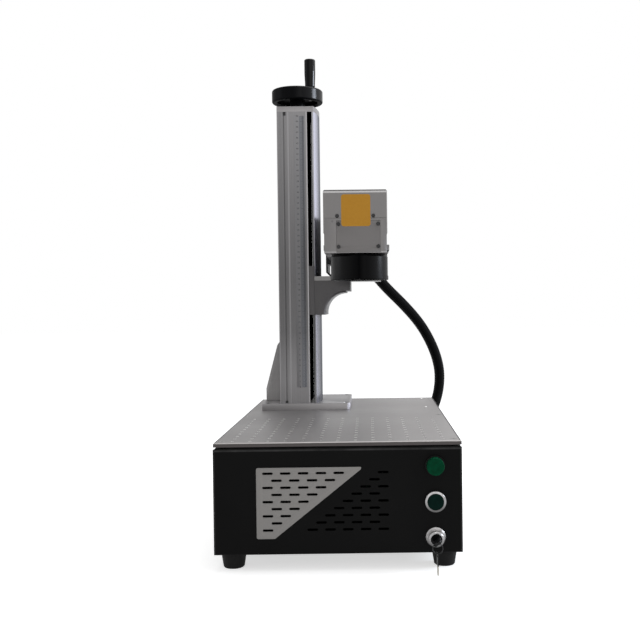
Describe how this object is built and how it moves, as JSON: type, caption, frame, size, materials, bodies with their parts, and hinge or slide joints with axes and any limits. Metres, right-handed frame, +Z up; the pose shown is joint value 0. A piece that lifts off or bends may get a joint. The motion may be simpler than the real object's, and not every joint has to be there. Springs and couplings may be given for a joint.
{
  "type": "laser marking machine",
  "caption": "Bench laser marking machine with a drilled worktop on a vented cabinet, a handwheel lift column, a scan head with round lens on an arm, and a ribbed hose.",
  "frame": {"origin": "on the floor under the middle of the machine's footprint, the hose left out", "axes": "+Z up, +X to the operator's right, +Y away from the operator"},
  "size_m": [0.3874, 0.8156, 0.8338],
  "materials": {
    "cabinet_black": "satin",
    "feet_rubber": "matte",
    "worktop_alu": "satin",
    "bright_steel": "bright",
    "dark_steel": "satin",
    "trim_alu": "satin",
    "black_plastic": "matte",
    "gloss_black": "gloss",
    "green_lens": "gloss",
    "button_green": "gloss",
    "chrome": "bright",
    "frame_alu": "satin",
    "cover_alu": "satin",
    "circuit": "matte",
    "bronze": "satin",
    "head_alu": "satin",
    "cradle_black": "satin",
    "lens_black": "gloss",
    "mirror_glass": "bright",
    "hose_black": "satin",
    "isolator_black": "satin"
  },
  "bodies": {
    "base": {"floor_panel": "cabinet_black", "side_panels": "cabinet_black", "front_panel": "cabinet_black", "rear_panel": "cabinet_black", "vent_trim": "trim_alu", "feet": "feet_rubber", "cabinet_screws": "bright_steel", "worktop": "worktop_alu", "worktop_gasket": "feet_rubber", "indicator_body": "black_plastic", "indicator_lens": "green_lens", "button_ring": "chrome", "button_spring": "bright_steel", "key_switch_body": "chrome", "laser_source": "frame_alu", "electronics": "circuit", "fan_frame": "black_plastic", "fan_guard": "bright_steel", "power_inlet": "black_plastic", "lower_gland": "black_plastic", "hose": "hose_black", "column_base": "frame_alu", "column": "frame_alu", "gusset": "frame_alu", "column_cover": "cover_alu", "column_cap": "frame_alu", "column_screws": "dark_steel", "ruler": "trim_alu", "guide_rods": "bright_steel", "lower_block": "frame_alu", "bearings": "bright_steel"},
    "wheel": {"lead_screw": "bright_steel", "handwheel": "gloss_black", "grip_spindle": "bright_steel"},
    "grip": {"grip": "gloss_black"},
    "carriage": {"carriage": "frame_alu", "lead_nut": "bronze", "slide_bushes": "bronze", "arm_bracket": "head_alu", "arm_plate": "head_alu", "arm_screws": "dark_steel", "cradle": "cradle_black", "optics_box": "head_alu", "optics_tail": "head_alu", "isolator": "isolator_black", "head_body": "head_alu", "head_cover": "head_alu", "head_plate": "head_alu", "head_screws": "bright_steel", "lens": "lens_black", "galvo_mount": "frame_alu", "galvo_motors": "isolator_black"},
    "button": {"button_cap": "button_green"},
    "key": {"key_barrel": "gloss_black", "key": "gloss_black"},
    "key_ring": {"key_ring": "bright_steel"},
    "spare_key": {"spare_key": "gloss_black"},
    "fan": {"fan_rotor": "black_plastic"},
    "mirror_x": {"mirror_x": "mirror_glass"},
    "mirror_y": {"mirror_y": "mirror_glass"}
  },
  "joints": [
    {"name": "wheel_spin", "type": "hinge", "parent": "base", "child": "wheel", "pos_m": [-0.0855, 0.164, 0.75], "axis": [0, 0, 1], "range_deg": [-20161, 10441]},
    {"name": "lift", "type": "slide", "parent": "base", "child": "carriage", "axis": [0, 0, 1], "range_m": [-0.145, 0.28], "deforming": ["hose"]},
    {"name": "handle_spin", "type": "hinge", "parent": "wheel", "child": "grip", "pos_m": [-0.0595, 0.138, 0.8], "axis": [0, 0, 1], "continuous": true},
    {"name": "start_button", "type": "slide", "parent": "base", "child": "button", "axis": [0, 1, 0], "range_m": [0, 0.003], "stiffness_N_per_m": 400, "deforming": ["button_spring"]},
    {"name": "key_turn", "type": "hinge", "parent": "base", "child": "key", "pos_m": [0.137, -0.31, 0.0455], "axis": [0, -1, 0], "range_deg": [0, 90]},
    {"name": "ring_swing", "type": "hinge", "parent": "base", "child": "key_ring", "pos_m": [0.137, -0.33525, 0.0455], "axis": [0, 1, 0], "range_deg": [-2.5, 2.5]},
    {"name": "spare_key_swing", "type": "hinge", "parent": "key_ring", "child": "spare_key", "pos_m": [0.137, -0.33525, 0.0294], "axis": [1, 0, 0], "range_deg": [-45, 55]},
    {"name": "fan_spin", "type": "hinge", "parent": "base", "child": "fan", "pos_m": [-0.092, 0.29, 0.098], "axis": [0, 1, 0], "continuous": true},
    {"name": "scan_x", "type": "hinge", "parent": "carriage", "child": "mirror_x", "pos_m": [0.0037, -0.132, 0.4984], "axis": [0, 0, 1], "range_deg": [-12, 12]},
    {"name": "scan_y", "type": "hinge", "parent": "carriage", "child": "mirror_y", "pos_m": [0.032, -0.132, 0.4984], "axis": [0, 1, 0], "range_deg": [-12, 12]}
  ],
  "couplings": [
    {"joint": "wheel_spin", "follows": "lift", "rad_per_m": -1256.6}
  ]
}
